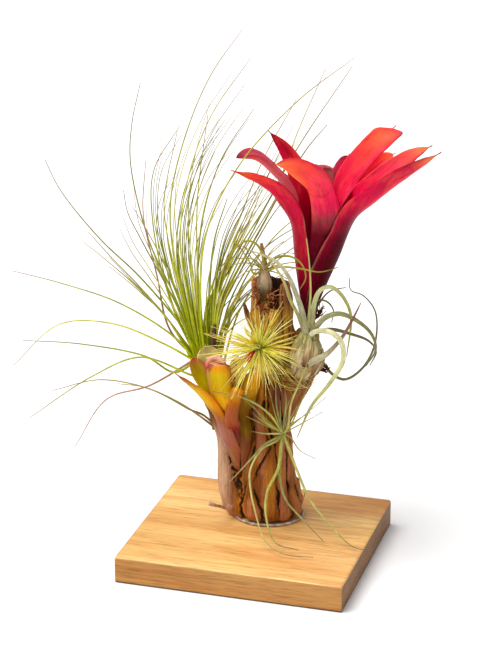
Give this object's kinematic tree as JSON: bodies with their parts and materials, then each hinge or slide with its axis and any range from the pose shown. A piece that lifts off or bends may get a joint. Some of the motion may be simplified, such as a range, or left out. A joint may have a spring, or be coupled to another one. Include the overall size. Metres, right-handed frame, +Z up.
{
  "type": "bromeliad display",
  "caption": "Red and yellow bromeliads and curly air plants growing on one weathered trunk that is glued upright to a flat wooden board, for standing on a shelf or table.",
  "frame": {"origin": "centre of the board's underside", "axes": "+Z up, +X along the board's longer edge to the viewer's right, -Y to the front"},
  "size_m": [0.2634, 0.1703, 0.3422],
  "materials": {
    "board": "satin lacquer",
    "glue": "clear, hard",
    "bark": "rough bark",
    "red_cup": "living leaf, dark",
    "red_leaf": "living leaf, satin",
    "orange_leaf": "living leaf, satin",
    "pink_leaf": "living leaf, satin",
    "olive_leaf": "living leaf, satin",
    "yellow_leaf": "living leaf, satin",
    "rush": "thin living leaf",
    "needle": "thin scaly leaf",
    "flower": "living bract",
    "silver": "felted with silver scales",
    "lower": "scaly living leaf",
    "crown": "scaly living leaf",
    "root": "dry root"
  },
  "bodies": {
    "root": {"wood_base": "board", "glue_bead": "glue", "trunk": "bark", "red_bromeliad_core": "red_cup", "red_bromeliad_leaf_left_low": "red_leaf", "red_bromeliad_leaf_right_low": "red_leaf", "red_bromeliad_leaf_back_low": "red_leaf", "red_bromeliad_leaf_left_gutter": "pink_leaf", "red_bromeliad_leaf_front_curl": "orange_leaf", "red_bromeliad_leaf_right_middle": "red_leaf", "red_bromeliad_leaf_right_high": "red_leaf", "red_bromeliad_leaf_back_left": "red_leaf", "red_bromeliad_leaf_back_right": "red_leaf", "red_bromeliad_leaf_left_high": "red_leaf", "red_bromeliad_leaf_heart_right": "red_leaf", "red_bromeliad_leaf_right_tall": "orange_leaf", "red_bromeliad_leaf_heart_back": "pink_leaf", "small_bromeliad_core": "olive_leaf", "small_bromeliad_leaf_left_low": "yellow_leaf", "small_bromeliad_leaf_front_short": "orange_leaf", "small_bromeliad_leaf_right_high": "yellow_leaf", "small_bromeliad_leaf_left_high": "olive_leaf", "small_bromeliad_leaf_front_tall": "yellow_leaf", "small_bromeliad_leaf_back_left": "olive_leaf", "small_bromeliad_leaf_heart_right": "yellow_leaf", "small_bromeliad_leaf_back_right": "olive_leaf", "rush_air_plant": "rush", "needle_air_plant": "needle", "needle_air_plant_flower": "flower", "silver_air_plant": "silver", "lower_air_plant": "lower", "crown_air_plant": "crown", "root_tuft_upper": "root", "root_tuft_lower": "root"}
  },
  "joints": []
}
